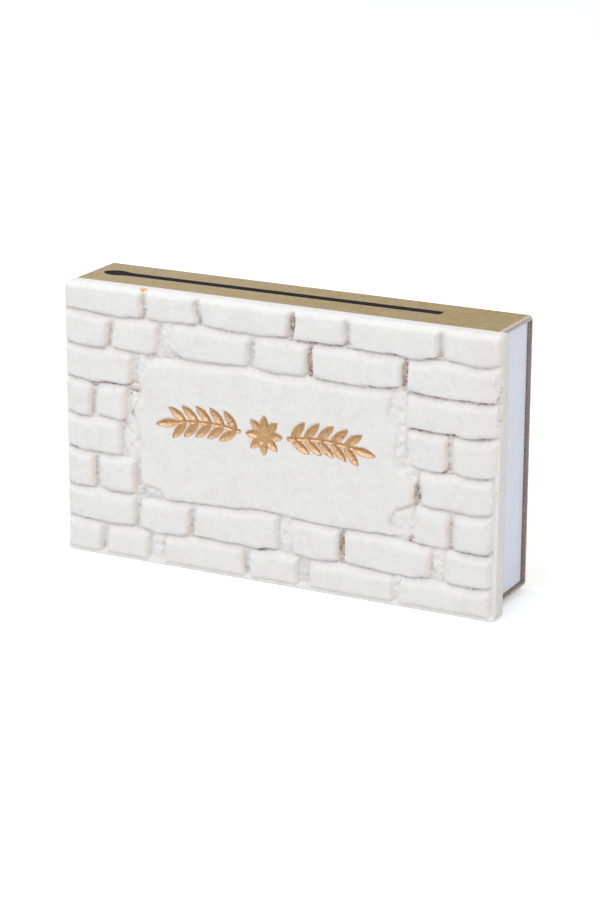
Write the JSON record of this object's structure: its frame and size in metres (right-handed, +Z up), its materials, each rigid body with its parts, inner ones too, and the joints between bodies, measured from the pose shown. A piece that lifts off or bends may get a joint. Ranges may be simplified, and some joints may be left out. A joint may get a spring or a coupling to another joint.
{
  "type": "matchbox holder",
  "caption": "Upright box of long matches with a sliding tray, and a cast brick-relief plaque with a gilded leaf ornament glued to its front.",
  "frame": {"origin": "on the surface that the box stands on, under the middle of its bounding box", "axes": "+Z up, -Y out of the plaque's face, +X to the right seen from the plaque's side, along which the tray slides"},
  "size_m": [0.113, 0.0252, 0.067],
  "materials": {
    "cast_stone": "cast resin with a chalky stone look, matt, brown-grey shade in its grooves",
    "gold_leaf": "crinkled gold leaf over a dark brown ground",
    "kraft_card": "printed kraft card, matt",
    "white_card": "uncoated white card, matt",
    "glue": "dried clear glue, satin",
    "striker": "rough dark striking surface",
    "match": "plain aspen splint with a matt red head"
  },
  "bodies": {
    "holder": {"plaque": "cast_stone", "gilded_sprig_left": "gold_leaf", "gilded_rosette": "gold_leaf", "gilded_sprig_right": "gold_leaf", "glue_pad_1": "glue", "glue_pad_2": "glue", "glue_pad_3": "glue", "glue_pad_4": "glue", "sleeve": "kraft_card", "seam_glue": "glue", "striker_strip": "striker"},
    "tray": {"tray": "white_card", "match_01": "match", "match_02": "match", "match_03": "match", "match_04": "match", "match_05": "match", "match_06": "match", "match_07": "match", "match_08": "match", "match_09": "match", "match_10": "match", "match_11": "match", "match_12": "match", "match_13": "match", "match_14": "match", "match_15": "match", "match_16": "match", "match_17": "match", "match_18": "match", "match_19": "match", "match_20": "match", "match_21": "match", "match_22": "match", "match_23": "match", "match_24": "match", "match_25": "match", "match_26": "match", "match_27": "match", "match_28": "match", "match_29": "match", "match_30": "match", "match_31": "match", "match_32": "match", "match_33": "match", "match_34": "match", "match_35": "match", "match_36": "match", "match_37": "match", "match_38": "match", "match_39": "match", "match_40": "match", "match_41": "match", "match_42": "match", "match_43": "match", "match_44": "match", "match_45": "match"}
  },
  "joints": [
    {"name": "tray_slide", "type": "slide", "parent": "holder", "child": "tray", "axis": [1, 0, 0], "range_m": [-0.112, 0.112]}
  ]
}
